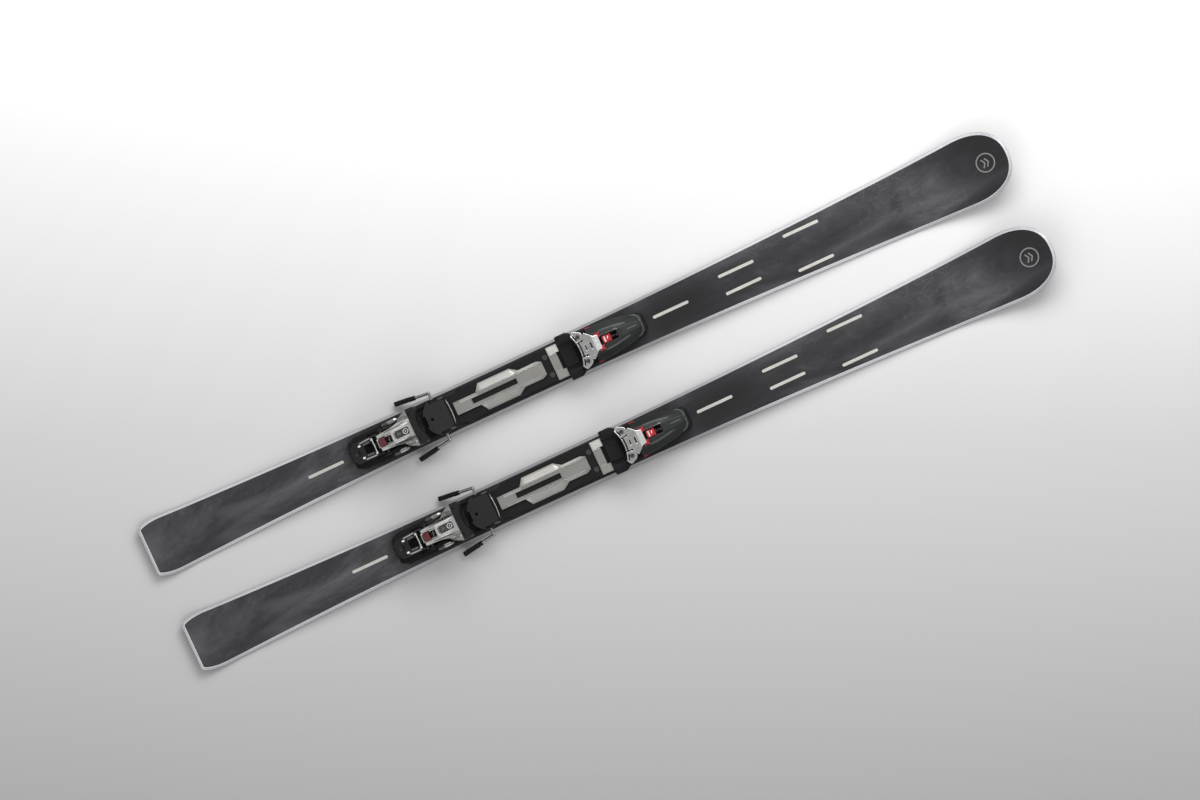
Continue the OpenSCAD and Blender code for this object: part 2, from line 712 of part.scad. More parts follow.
module heel_indicator() {
    mid = -380 + indicator_offset;
    color("#7c1f26") opened() difference() {
        union() {
            box(-7.4, 7.4, mid - 7, mid + 5, heel_spring_z + 8.6, 69.2);
            box(-4, 4, mid - 1.5, mid + 1.5, heel_spring_z + 4.6, heel_spring_z + 9);
        }
        box(-8, 8, mid - 1.4, mid - 0.6, 68.4, 72);
    }
}

// --- Brake ------------------------------------------------------------------------------------

arm_x = 46.5;
arm_l = 70;
arm_splay = 6.5;

// Places a piece at the end of the right brake arm, with +Z along the arm
module at_arm() {
    translate([arm_x, brake_axle.x, brake_axle.y]) rotate([90 + brake_drop, 0, 0])
        rotate([0, arm_splay, 0]) children();
}

module brake_arms() {
    r = brake_wire_r;
    color("#b4b6ba") {
        rod_x(r, -arm_x, arm_x, brake_axle.x, brake_axle.y);
        both_sides() {
            translate([arm_x, brake_axle.x, brake_axle.y]) sphere(r = r + 0.3);
            at_arm() cylinder(r = r, h = arm_l - 8);
        }
    }
}

module brake_pads() {
    color("#151515") both_sides() at_arm() difference() {
        union() {
            translate([0, 0, arm_l - 33]) linear_extrude(33)
                polygon([[-4, -3.6], [-2, -5], [3, -5], [4.8, -3], [4.8, 4], [3, 5.4], [-2, 5.4], [-4, 4]]);
            translate([0, 0, arm_l - 42]) cylinder(r = 4.3, h = 10);
        }
        // Bite marks along the pad
        for (z = [arm_l - 28:6:arm_l - 6]) translate([3.6, -8, z]) cube([3, 16, 2]);
        cylinder(r = brake_wire_r, h = arm_l - 8);
    }
}

module brake_pedal() {
    top = pedal_axle.y + 5;
    color("#262726") translate([0, pedal_axle.x, pedal_axle.y]) rotate([-pedal_lift, 0, 0])
        translate([0, -pedal_axle.x, -pedal_axle.y]) difference() {
        union() {
            intersection() {
                plate([[32.5, -310], [32.5, -286.5], [pedal_half, -286], [pedal_half, -266], [25, -257]],
                      pedal_axle.y + 0.4, top);
                translate([cup.x, cup.y + 1, 0]) cylinder(r = cup_r - 1.6, h = 80, $fn = 120);
            }
            // Hinge barrels
            both_sides() rod_x(3.2, 13.5, pedal_half, pedal_axle.x, pedal_axle.y);
            // Stiffening ribs under the plate
            both_sides() box(19, 21.5, -300, -262, pedal_axle.y - 2.2, pedal_axle.y + 1);
        }
        rod_x(pedal_axle_r + fit, -40, 40, pedal_axle.x, pedal_axle.y);
        // Drain hole, notch for the heel's spur, tread grooves
        translate([0, -291, top - 8]) cylinder(r = 3, h = 12);
        box(-10.5, 10.5, -312, -301.5, top - 8, top + 1);
        for (y = [-298, -282, -276, -270]) both_sides() box(7, 22, y, y + 1.6, top - 0.8, top + 1);
        // Room for the brake's axle, and for the centre cover
        along_x(80) polygon(arc(brake_axle, brake_wire_r + 0.7, 0, 350, 24));
        box(-13, 13, -264, -256, pedal_axle.y - 4, pedal_axle.y + 0.4);
    }
}

// --- The pair ---------------------------------------------------------------------------------

for (side = SIDES) translate([side[1] * ski_spacing / 2, 0, 0]) {
    if (shown(side, "running_base")) running_base();
    if (shown(side, "steel_edges")) steel_edges();
    if (shown(side, "wood_core")) wood_core();
    if (shown(side, "sidewalls")) sidewalls();
    if (shown(side, "topsheet")) topsheet();
    if (shown(side, "topsheet_inlays")) topsheet_inlays();
    if (shown(side, "binding_plate")) binding_plate();
    if (shown(side, "rail_covers")) rail_covers();
    if (shown(side, "screws")) screws();
    if (shown(side, "toe_base")) toe_base();
    if (shown(side, "afd_slider")) afd_slider();
    if (shown(side, "toe_housing")) toe_housing();
    if (shown(side, "toe_bridge")) toe_bridge();
    if (shown(side, "toe_trim")) toe_trim();
    if (shown(side, "toe_wing_outer")) mirror([side[1] < 0 ? 1 : 0, 0, 0]) toe_wing();
    if (shown(side, "toe_wing_inner")) mirror([side[1] < 0 ? 0 : 1, 0, 0]) toe_wing();
    if (shown(side, "toe_spring")) toe_spring();
    if (shown(side, "toe_din_screw")) toe_din_screw();
    if (shown(side, "toe_indicator")) toe_indicator();
    if (shown(side, "heel_carriage")) heel_carriage();
    if (shown(side, "heel_axles")) heel_axles();
    if (shown(side, "heel_housing")) heel_housing();
    if (shown(side, "heel_jaw")) heel_jaw();
    if (shown(side, "heel_lever")) heel_lever();
    if (shown(side, "heel_spring")) heel_spring();
    if (shown(side, "heel_din_screw")) heel_din_screw();
    if (shown(side, "heel_indicator")) heel_indicator();
    if (shown(side, "brake_arms")) brake_arms();
    if (shown(side, "brake_pads")) brake_pads();
    if (shown(side, "brake_pedal")) brake_pedal();
}

function shown(side, part) = node == "all" || node == str(side[0], "_", part);
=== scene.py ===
"""Looks for a pair of alpine skis with bindings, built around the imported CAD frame.

Every CAD node stays, with rounded edges and a node material of its own. What the CAD leaves out, such as
lips, ridges, sloping shoulders and printed marks, is laid over the CAD surfaces as thin shaped strips.
"""

import json
import math

import bmesh
import bpy
from mathutils import Matrix, Vector
from mathutils.bvhtree import BVHTree


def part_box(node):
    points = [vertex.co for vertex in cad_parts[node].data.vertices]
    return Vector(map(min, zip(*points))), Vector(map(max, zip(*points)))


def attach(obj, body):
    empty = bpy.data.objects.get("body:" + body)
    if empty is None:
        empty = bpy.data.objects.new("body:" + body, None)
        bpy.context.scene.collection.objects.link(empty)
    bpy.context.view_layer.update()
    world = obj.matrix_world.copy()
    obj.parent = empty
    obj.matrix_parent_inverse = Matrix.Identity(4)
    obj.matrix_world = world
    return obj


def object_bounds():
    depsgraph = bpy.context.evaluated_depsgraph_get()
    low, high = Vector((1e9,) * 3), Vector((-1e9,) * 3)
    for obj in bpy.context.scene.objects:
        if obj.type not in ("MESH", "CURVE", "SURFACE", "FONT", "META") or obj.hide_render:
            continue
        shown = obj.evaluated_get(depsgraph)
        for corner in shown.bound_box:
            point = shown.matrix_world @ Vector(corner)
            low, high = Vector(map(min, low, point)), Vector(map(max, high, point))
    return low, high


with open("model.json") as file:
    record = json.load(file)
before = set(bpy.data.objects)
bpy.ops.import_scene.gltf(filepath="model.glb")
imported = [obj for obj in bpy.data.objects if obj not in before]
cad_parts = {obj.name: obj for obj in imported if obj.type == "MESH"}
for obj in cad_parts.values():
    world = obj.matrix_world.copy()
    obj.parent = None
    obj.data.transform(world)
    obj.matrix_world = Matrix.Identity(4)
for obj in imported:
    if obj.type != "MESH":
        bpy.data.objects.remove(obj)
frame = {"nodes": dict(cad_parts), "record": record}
CAD_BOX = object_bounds()
NODES = frame["nodes"]
RECORD = frame["record"]
MM = 0.001
SIDES = ("left", "right")
CENTRE_X = {side: sum(corner.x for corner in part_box(f"{side}_topsheet")) / 2 for side in SIDES}
SLOT_OF = {row["node"]: row["material_slot"] for row in RECORD["subparts"]}

# Ends of the heel's rail, of the toe piece and of the ski along Y, to the nearest centimetre
HEEL_END = round(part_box("left_heel_carriage")[0].y, 2)
TOE_END = round(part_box("left_toe_housing")[1].y, 2)
TIP = round(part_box("left_topsheet")[1].y, 2)

# --- Camera: straight above, leaning a little to the right-hand side, rolled to the skis' slant ---

VIEW_WIDTH = 2.16
SKI_SLANT = 24.95
LEAN = 2.6
AIM = Vector((0.0, 0.0, 0.02))
CAMERA_DISTANCE = 3.0


def add_camera():
    """Makes the camera and returns the direction that is up in its picture."""
    data = bpy.data.cameras.new("camera")
    data.type = "ORTHO"
    data.ortho_scale = VIEW_WIDTH
    data.clip_end = 20
    camera = bpy.data.objects.new("camera", data)
    bpy.context.scene.collection.objects.link(camera)
    back = Vector((math.sin(math.radians(LEAN)), 0, math.cos(math.radians(LEAN))))
    heading = math.radians(90 - SKI_SLANT)
    right = Vector((math.cos(heading), math.sin(heading), 0))
    right = (right - back * right.dot(back)).normalized()
    up = back.cross(right)
    turn = Matrix((right, up, back)).transposed()
    camera.matrix_world = Matrix.Translation(AIM + back * CAMERA_DISTANCE) @ turn.to_4x4()
    bpy.context.scene.camera = camera
    return up


image_up = add_camera()

# --- Materials ------------------------------------------------------------------------------------


class Shader:
    """A node material under construction: add() makes a node, link() joins two sockets."""

    def __init__(self, name):
        self.material = bpy.data.materials.new(name)
        self.material.use_nodes = True
        self.tree = self.material.node_tree
        self.surface = self.tree.nodes["Principled BSDF"]
        self.place = self.add("ShaderNodeTexCoord").outputs["Object"]

    def add(self, kind, **values):
        node = self.tree.nodes.new(kind)
        for key, value in values.items():
            if hasattr(node, key):
                setattr(node, key, value)
            else:
                node.inputs[key].default_value = value
        return node

    def link(self, out, into):
        self.tree.links.new(out, into)

    def set(self, **values):
        """Constants for the surface's sockets, with _ for the spaces in their names."""
        for key, value in values.items():
            self.surface.inputs[key.replace("_", " ")].default_value = value

    def plug(self, socket, value):
        self.link(value, self.surface.inputs[socket])

    def mapped(self, scale=(1, 1, 1), turn=0.0, shift=(0, 0, 0), at=None):
        """A place, or the object's own coordinates, shifted, turned about Z by some degrees and scaled."""
        node = self.add("ShaderNodeMapping")
        node.inputs["Location"].default_value = shift
        node.inputs["Rotation"].default_value = (0, 0, math.radians(turn))
        node.inputs["Scale"].default_value = scale
        self.link(at or self.place, node.inputs["Vector"])
        return node.outputs["Vector"]

    def along(self):
        """The distance along the ski, growing toward the tip."""
        axes = self.add("ShaderNodeSeparateXYZ")
        self.link(self.place, axes.inputs[0])
        return axes.outputs["Y"]

    def noise(self, scale, detail=4.0, rough=0.55, warp=0.0, at=None):
        node = self.add("ShaderNodeTexNoise", Scale=scale, Detail=detail, Roughness=rough, Distortion=warp)
        self.link(at or self.place, node.inputs["Vector"])
        return node.outputs["Fac"]

    def ranged(self, value, low, high, to_low=0.0, to_high=1.0, smooth=False):
        node = self.add("ShaderNodeMapRange")
        node.interpolation_type = "SMOOTHSTEP" if smooth else "LINEAR"
        limits = (("From Min", low), ("From Max", high), ("To Min", to_low), ("To Max", to_high))
        for socket, number in limits:
            node.inputs[socket].default_value = number
        self.link(value, node.inputs["Value"])
        return node.outputs["Result"]

    def mix(self, share, first, second):
        node = self.add("ShaderNodeMix", data_type="RGBA")
        for socket, value in ((node.inputs[6], first), (node.inputs[7], second), (node.inputs[0], share)):
            if isinstance(value, tuple):
                socket.default_value = (*value, 1.0)
            elif isinstance(value, (int, float)):
                socket.default_value = value
            else:
                self.link(value, socket)
        return node.outputs[2]

    def math(self, operation, first, second=0.0):
        node = self.add("ShaderNodeMath", operation=operation)
        for socket, value in zip(node.inputs, (first, second)):
            if isinstance(value, (int, float)):
                socket.default_value = value
            else:
                self.link(value, socket)
        return node.outputs[0]

    def both(self, first, second):
        return self.math("MULTIPLY", first, second)

    def ramp(self, value, stops):
        node = self.add("ShaderNodeValToRGB")
        fill_ramp(node.color_ramp, stops)
        self.link(value, node.inputs["Fac"])
        return node.outputs["Color"]

    def bump(self, height, strength, depth):
        node = self.add("ShaderNodeBump", Strength=strength, Distance=depth)
        self.link(height, node.inputs["Height"])
        return node.outputs["Normal"]

    def edges(self, radius):
        """1 along convex and concave edges, 0 on flats."""
        bevel = self.add("ShaderNodeBevel", samples=4, Radius=radius)
        geometry = self.add("ShaderNodeNewGeometry")
        dot = self.add("ShaderNodeVectorMath", operation="DOT_PRODUCT")
        self.link(bevel.outputs["Normal"], dot.inputs[0])
        self.link(geometry.outputs["Normal"], dot.inputs[1])
        return self.ranged(dot.outputs["Value"], 0.985, 0.80, smooth=True)


def fill_ramp(ramp, stops):
    """Gives a colour ramp its stops, each a place from 0 to 1 and a colour."""
    while len(ramp.elements) < len(stops):
        ramp.elements.new(0.5)
    for element, (at, color) in zip(ramp.elements, stops):
        element.position = at
        element.color = (*color, 1.0)


def grey(level):
    return (level, level, level)


def shade(color, share):
    return tuple(min(1.0, c * share) for c in color)


def moulded(name, color, rough=0.48, worn=grey(0.16), wear=0.35):
    """Fine-grained moulded plastic: mottled, pitted, and paler along its edges."""
    s = Shader(name)
    s.set(Specular_IOR_Level=0.22)
    mottled = s.mix(s.noise(38, detail=3), shade(color, 0.72), shade(color, 1.3))
    rub = s.both(s.edges(0.0007), s.ranged(s.noise(160, detail=3), 0.35, 0.7, 0.1, wear))
    s.plug("Base Color", s.mix(rub, mottled, worn))
    s.plug("Roughness", s.ranged(s.noise(220, detail=3), 0.3, 0.7, rough - 0.09, rough + 0.1))
    s.plug("Normal", s.bump(s.noise(1500, detail=2), 0.5, 0.00012))
    return s.material


def metal(name, color, rough, stretch=(1, 1, 1), grain=700, depth=0.00006, tint=0.14, brush=0.0):
    """Bare metal with its grain stretched along one axis, and brighter on its worn edges."""
    s = Shader(name)
    s.set(Metallic=1.0, Anisotropic=brush)
    lines = s.noise(grain, detail=5, at=s.mapped(scale=stretch))
    tone = s.mix(s.noise(45, detail=3), shade(color, 1 - tint), shade(color, 1 + tint))
    tone = s.mix(s.ranged(lines, 0.35, 0.65, 0, 0.35), tone, shade(color, 0.72))
    s.plug("Base Color", s.mix(s.both(s.edges(0.0006), 0.5), tone, shade(color, 1.25)))
    s.plug("Roughness", s.ranged(lines, 0.3, 0.7, rough - 0.07, rough + 0.1))
    s.plug("Normal", s.bump(lines, 0.35, depth))
    return s.material


def glossy(name, color, rough, coat):
    """Painted or glossy plastic under a clear coat, with faint waviness."""
    s = Shader(name)
    s.set(Coat_Weight=coat, Coat_Roughness=0.12)
    s.plug("Base Color", s.mix(s.noise(60, detail=3), shade(color, 0.86), shade(color, 1.12)))
    s.plug("Roughness", s.ranged(s.noise(300, detail=3), 0.3, 0.7, rough - 0.06, rough + 0.1))
    s.plug("Normal", s.bump(s.noise(900, detail=2), 0.25, 0.00005))
    return s.material


def smoky_topsheet(name, centre_x):
    """Charcoal topsheet with drifting grey clouds and thin pale veins, darker at the toe piece and tip, with
    painted shade under and around the binding.
    """
    s = Shader(name)
    s.set(Specular_IOR_Level=0.22)
    at = s.mapped(scale=(14.0, 5.2, 1.0), turn=32, at=s.mapped(shift=(-centre_x, 0, 0)))
    clouds = s.noise(1.0, detail=7, rough=0.6, warp=0.9, at=at)
    broad = s.noise(0.35, detail=2, at=at)
    tone = s.math("ADD", s.both(clouds, 0.62), s.both(broad, 0.38))
    smoke = s.ramp(tone, [(0.34, (0.017, 0.0162, 0.0185)), (0.46, (0.036, 0.0345, 0.038)),
                          (0.55, (0.066, 0.064, 0.070)), (0.68, (0.125, 0.121, 0.132))])
    veins = s.noise(1.7, detail=6, rough=0.6, warp=1.6, at=at)
    from_vein = s.math("ABSOLUTE", s.math("SUBTRACT", veins, 0.5))
    vein = s.ranged(from_vein, 0.0, 0.02, 0.32, 0.0, smooth=True)
    smoke = s.mix(s.both(vein, s.ranged(broad, 0.45, 0.6)), smoke, (0.17, 0.168, 0.175))
    y = s.along()
    by_toe = s.both(s.ranged(y, TOE_END - 0.03, TOE_END + 0.03),
                    s.ranged(y, TOE_END + 0.29, TOE_END + 0.06, smooth=True))
    by_tip = s.ranged(y, TIP - 0.15, TIP - 0.03, smooth=True)
    # Painted shade over the binding's length and a little past its ends, which darkens the topsheet there
    shade_under_binding = s.both(s.ranged(y, HEEL_END - 0.02, HEEL_END + 0.04),
                           s.ranged(y, TOE_END + 0.03, TOE_END - 0.03))
    # dark joins the darker print at the toe piece and tip with the painted shade of the binding
    dark = s.math("MAXIMUM", s.math("MAXIMUM", by_toe, by_tip), shade_under_binding)
    s.plug("Base Color", s.mix(s.both(dark, 0.7), smoke, (0.011, 0.011, 0.012)))
    s.plug("Roughness", s.ranged(clouds, 0.3, 0.7, 0.46, 0.34))
    fibres = s.noise(420, detail=3, at=s.mapped(scale=(6, 0.5, 1)))
    s.plug("Normal", s.bump(fibres, 0.18, 0.00006))
    return s.material


def lacquered_sidewall(name, color):
    """Silver lacquer on the ski's side band, with painted shade beside the binding that makes it greyer
    there than toward tip and tail.
    """
    s = Shader(name)
    s.set(Metallic=0.55, Coat_Weight=0.3, Coat_Roughness=0.12)
    y = s.along()
    # beside marks where painted shade falls on the band next to the binding
    beside = s.both(s.ranged(y, HEEL_END - 0.12, HEEL_END + 0.14, smooth=True),
                    s.ranged(y, TOE_END + 0.21, TOE_END - 0.01, smooth=True))
    # Lengthwise streaks that break up the painted shade
    streaky_shade = s.ranged(s.noise(26, detail=3, at=s.mapped(scale=(1, 0.22, 1))), 0.35, 0.65, 0.86, 1.08)
    tone = s.mix(s.noise(60, detail=3), shade(color, 0.88), shade(color, 1.1))
    # Painted shade: the band darkens toward about a third of its colour beside the binding
    tone = s.mix(s.both(s.both(beside, 0.85), streaky_shade), tone, shade(color, 0.36))
    s.plug("Base Color", s.mix(s.ranged(s.noise(1900, detail=1), 0.5, 0.8, 0, 0.2), tone, color))
    s.plug("Roughness", s.ranged(s.noise(300, detail=3), 0.3, 0.7, 0.26, 0.42))
    s.plug("Normal", s.bump(s.noise(900, detail=2), 0.25, 0.00005))
    return s.material


def running_base(name):
    """Black sintered sole with the fine lengthwise lines left by a stone grinder."""
    s = Shader(name)
    lines = s.noise(520, detail=3, at=s.mapped(scale=(5, 0.12, 1)))
    s.plug("Base Color", s.mix(s.noise(9), (0.012, 0.012, 0.014), (0.035, 0.035, 0.038)))
    s.plug("Roughness", s.ranged(lines, 0.3, 0.7, 0.34, 0.5))
    s.plug("Normal", s.bump(lines, 0.45, 0.0001))
    return s.material


def laminated_wood(name):
    """Pale strips of wood glued side by side."""
    s = Shader(name)
    strips = s.add("ShaderNodeTexWave", wave_type="BANDS", bands_direction="X", Scale=38.0, Distortion=0.3)
    s.link(s.place, strips.inputs["Vector"])
    strip = s.ranged(strips.outputs["Fac"], 0.45, 0.55, 0.0, 0.3)
    figure = s.noise(60, detail=6, warp=1.2, at=s.mapped(scale=(4, 0.3, 4)))
    tone = s.ramp(figure, [(0.3, (0.36, 0.22, 0.11)), (0.7, (0.66, 0.48, 0.29))])
    s.plug("Base Color", s.mix(strip, tone, (0.4, 0.25, 0.13)))
    s.plug("Roughness", s.ranged(figure, 0.3, 0.7, 0.5, 0.7))
    s.plug("Normal", s.bump(figure, 0.3, 0.0002))
    return s.material


ALONG_SKI = (3, 0.12, 3)
CASTING = {"grain": 260, "depth": 0.00008}
LOOKS = {
    "base_black": running_base("base_black"),
    "edge_steel": metal("edge_steel", (0.30, 0.30, 0.32), 0.34, stretch=ALONG_SKI, brush=0.4),
    "core_wood": laminated_wood("core_wood"),
    "sidewall_silver": lacquered_sidewall("sidewall_silver", (0.72, 0.73, 0.76)),
    "inlay_champagne": metal("inlay_champagne", (0.92, 0.88, 0.82), 0.34, stretch=ALONG_SKI, grain=900),
    "plate_black": moulded("plate_black", (0.006, 0.006, 0.0065), 0.44),
    "cover_satin": metal("cover_satin", (0.36, 0.355, 0.335), 0.4, stretch=ALONG_SKI, grain=500, tint=0.1),
    "screw_steel": metal("screw_steel", (0.11, 0.11, 0.115), 0.36, grain=300),
    "slider_black": moulded("slider_black", (0.007, 0.007, 0.0075), 0.36),
    "housing_grey": moulded("housing_grey", (0.022, 0.025, 0.0235), 0.36, worn=grey(0.2)),
    "cast_silver": metal("cast_silver", (0.74, 0.75, 0.73), 0.2, grain=240, depth=0.00008, tint=0.1),
    "accent_red": glossy("accent_red", (0.40, 0.006, 0.014), 0.4, coat=0.1),
    "spring_steel": metal("spring_steel", (0.34, 0.34, 0.35), 0.36, grain=400),
    "indicator_red": glossy("indicator_red", (0.42, 0.008, 0.018), 0.4, coat=0.1),
    "heel_silver": metal("heel_silver", (0.60, 0.60, 0.58), 0.22, tint=0.12, **CASTING),
    "jaw_black": moulded("jaw_black", (0.011, 0.012, 0.0115), 0.38),
    "lever_black": moulded("lever_black", (0.010, 0.011, 0.0105), 0.34),
    "indicator_dark_red": glossy("indicator_dark_red", (0.10, 0.004, 0.009), 0.3, coat=0.2),
    "wire_dark_steel": metal("wire_dark_steel", (0.34, 0.34, 0.345), 0.26, grain=500),
    "pad_black": moulded("pad_black", grey(0.006), 0.55, wear=0.25),
    "pedal_black": moulded("pedal_black", (0.007, 0.0075, 0.007), 0.36),
    "mark_grey": glossy("mark_grey", (0.20, 0.2, 0.205), 0.4, coat=0.1),
    "mark_white": glossy("mark_white", (0.8, 0.8, 0.78), 0.4, coat=0.1),
    "rim_grey": moulded("rim_grey", (0.075, 0.085, 0.082), 0.36, worn=grey(0.3)),
    "window_black": glossy("window_black", (0.008, 0.008, 0.009), 0.18, coat=0.6),
    "flare_grey": metal("flare_grey", (0.34, 0.34, 0.33), 0.3, tint=0.16, **CASTING),
}
TOPSHEET = {side: smoky_topsheet(f"topsheet_smoke_{side}", CENTRE_X[side]) for side in SIDES}

# --- CAD nodes: smooth shading, rounded edges and a finish ---------------------------------------

# Long layers that curve gently, whose faces are never merged
SKI_LAYERS = ("running_base", "steel_edges", "wood_core", "sidewalls", "topsheet")

# Width of the rounding on each part's edges, in millimetres; 0 leaves them as they are
ROUNDING = {
    "running_base": 0.15, "steel_edges": 0.12, "wood_core": 0, "sidewalls": 0.35, "topsheet": 0.25,
    "topsheet_inlays": 0.25, "binding_plate": 0.5, "rail_covers": 0.35, "screws": 0.15,
    "afd_slider": 0.35, "toe_trim": 0.3, "toe_din_screw": 0.25, "toe_indicator": 0.3, "heel_carriage": 0.6,
    "heel_axles": 0.2, "heel_din_screw": 0.25, "heel_indicator": 0.3, "brake_arms": 0, "brake_pedal": 0.6,
    "toe_spring": 0, "heel_spring": 0,
}

# Castings and mouldings, which are softened all over, with the size of the detail kept in millimetres
CAST = {
    "toe_housing": 0.7, "toe_bridge": 0.45, "toe_wing_outer": 0.45, "toe_wing_inner": 0.45, "toe_base": 0.7,
    "heel_housing": 0.55, "heel_jaw": 0.6, "heel_lever": 0.6, "brake_pads": 0.5,
}


def finish_node(node, side, part):
    """Gives a CAD node its material, smooth shading and soft or rounded edges."""
    data = node.data
    data.materials.clear()
    data.materials.append(TOPSHEET[side] if part == "topsheet" else LOOKS[SLOT_OF[node.name]])
    data.polygons.foreach_set("use_smooth", [True] * len(data.polygons))
    data.set_sharp_from_angle(angle=math.radians(28))
    if part in CAST:
        soften(node, CAST[part])
    elif ROUNDING[part]:
        if part not in SKI_LAYERS:
            flats = node.modifiers.new("flats", "DECIMATE")
            flats.decimate_type = "DISSOLVE"
            flats.angle_limit = math.radians(1)
        round_edges(node, ROUNDING[part])


def soften(piece, voxel_mm):
    """The rounded edges and soft corners of a cast or moulded part."""
    remesh = piece.modifiers.new("remesh", "REMESH")
    remesh.mode = "VOXEL"
    remesh.voxel_size = voxel_mm * MM
    remesh.use_smooth_shade = True
    smooth = piece.modifiers.new("smooth", "SMOOTH")
    smooth.factor = 0.5
    smooth.iterations = 5
    thin = piece.modifiers.new("thin", "DECIMATE")
    thin.ratio = 0.3


def round_edges(piece, width_mm, limit=32):
    """Rounds the edges sharper than limit degrees."""
    bevel = piece.modifiers.new("rounding", "BEVEL")
    bevel.width = width_mm * MM
    bevel.segments = 2
    bevel.limit_method = "ANGLE"
    bevel.angle_limit = math.radians(limit)
    bevel.harden_normals = True
    bevel.miter_outer = "MITER_ARC"


for name, node in NODES.items():
    finish_node(node, *name.split("_", 1))

# --- Details laid over the CAD surfaces -----------------------------------------------------------

# The half of a ski toward -X is called outer and the other one inner, on both skis alike
FLANKS = ((-1, "outer"), (1, "inner"))


class Surface:
    """The upper surface of one ski's CAD nodes, seen from straight above, in millimetres.

    x starts at the ski's centre line, and y at the rear end of the first node, taken to the nearest half
    millimetre.
    """

    ABOVE_ALL = 0.3

    def __init__(self, side, *parts):
        bm = bmesh.new()
        for part in parts:
            bm.from_mesh(NODES[f"{side}_{part}"].data)
        self.tree = BVHTree.FromBMesh(bm)
        bm.free()
        self.side = side
        rear, front = (corner.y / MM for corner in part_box(f"{side}_{parts[0]}"))
        self.rear = round(2 * rear) / 2
        self.length = front - self.rear
        self.height = self.ABOVE_ALL

    def at(self, x, y):
        """The point of the surface at a place, or over a hole the place at the last height found."""
        x, y = CENTRE_X[self.side] + x * MM, (self.rear + y) * MM
        hit = self.tree.ray_cast(Vector((x, y, self.ABOVE_ALL)), Vector((0, 0, -1)))[0]
        if hit:
            self.height = hit.z
        return Vector((x, y, self.height))


def resampled(path, count, closed):
    """count points evenly spaced along a path of 2-D points."""
    points = [Vector(point) for point in path]
    if closed:
        points.append(points[0])
    lengths = [0.0]
    for a, b in zip(points, points[1:]):
        lengths.append(lengths[-1] + (b - a).length)
    result, k = [], 0
    for i in range(count):
        want = lengths[-1] * i / (count if closed else count - 1)
        while k < len(points) - 2 and lengths[k + 1] < want:
            k += 1
        share = (want - lengths[k]) / max(lengths[k + 1] - lengths[k], 1e-9)
        result.append(points[k].lerp(points[k + 1], share))
    return result


def strip_points(surface, path, width, count, across, closed, lift, ends, crown, slope, inner):
    """Rows of points across a strip, one row for each of count places along its path."""
    centres = resampled(path, count, closed)
    points = []
    for i, centre in enumerate(centres):
        before = centres[i - 1] if i or closed else centre
        after = centres[(i + 1) % count] if i < count - 1 or closed else centre
        ahead = (after - before).normalized()
        sideways = Vector((ahead.y, -ahead.x))
        share = i / (count - 1)
        taper = 1.0 if closed else ends + (1 - ends) * min(1.0, 8 * share, 8 * (1 - share))
        for j in range(across + 1):
            offset = (j / across - 0.5) * width * taper
            if inner:
                offset -= math.copysign(0.5, centre.x) * width * (1 - taper)
            point = surface.at(*(centre + sideways * offset))
            point.z += (lift + crown * math.sin(math.pi * j / across) + slope * (j / across - 0.5)) * MM
            points.append(point)
    return points


def overlay(name, surface, path, width, look, body, thick=0.8, lift=0.3, count=24, across=4, closed=False,
            ends=1.0, crown=0.0, slope=0.0, inner=False):
    """A strip of material that follows the surface below it along a path; width and sizes in millimetres.

    ends narrows both ends to that share of the width, crown raises the middle of the strip, and slope
    raises its right-hand side, seen along the path, and lowers its left-hand one. With inner set, the
    strip's side nearest the ski's centre line stays straight, and only the far side pulls in at the ends.
    """
    points = strip_points(surface, path, width, count, across, closed, lift, ends, crown, slope, inner)
    row = across + 1
    faces = []
    for i in range(count if closed else count - 1):
        for j in range(across):
            a, b = i * row + j, ((i + 1) % count) * row + j
            faces.append((a, b, b + 1, a + 1))
    data = bpy.data.meshes.new(name)
    data.from_pydata(points, [], faces)
    data.polygons.foreach_set("use_smooth", [True] * len(data.polygons))
    data.materials.append(LOOKS[look])
    if data.polygons[0].normal.z < 0:
        data.flip_normals()
    piece = bpy.data.objects.new(f"{surface.side}_{name}", data)
    bpy.context.scene.collection.objects.link(piece)
    solid = piece.modifiers.new("thickness", "SOLIDIFY")
    solid.thickness = thick * MM
    solid.offset = -1
    round_edges(piece, min(0.3, thick * 0.35), limit=40)
    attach(piece, f"{surface.side}_{body}")


def mirrored(name, surface, path, width, look, body, slope=0.0, **shape):
    """The same strip on both flanks of a ski; slope here raises its side toward the centre line."""
    for sign, flank in FLANKS:
        overlay(f"{name}_{flank}", surface, [(sign * x, y) for x, y in path], width, look, body,
                slope=-sign * slope, **shape)


def circle(x, y, radius, start=0.0, sweep=360.0, count=48):
    """Points of a circle or an arc, for overlay(); a whole circle leaves out its last point."""
    angles = [math.radians(start + sweep * k / count) for k in range(count + (sweep < 360))]
    return [(x + radius * math.cos(a), y + radius * math.sin(a)) for a in angles]


def tip_mark(side):
    """A plain ring round two mountain-shaped strokes, printed near the tip."""
    top = Surface(side, "topsheet")
    y = top.length - 40.5
    printed = {"thick": 0.25, "lift": 0.12}
    overlay("tip_ring", top, circle(0, y, 16.6), 2.4, "mark_grey", "ski", count=72, closed=True, **printed)
    for name, rise in (("low", -6), ("high", 1)):
        stroke = [(-8, y + rise), (0, y + rise + 5), (8, y + rise)]
        overlay(f"tip_peak_{name}", top, stroke, 2.4, "mark_grey", "ski", **printed)


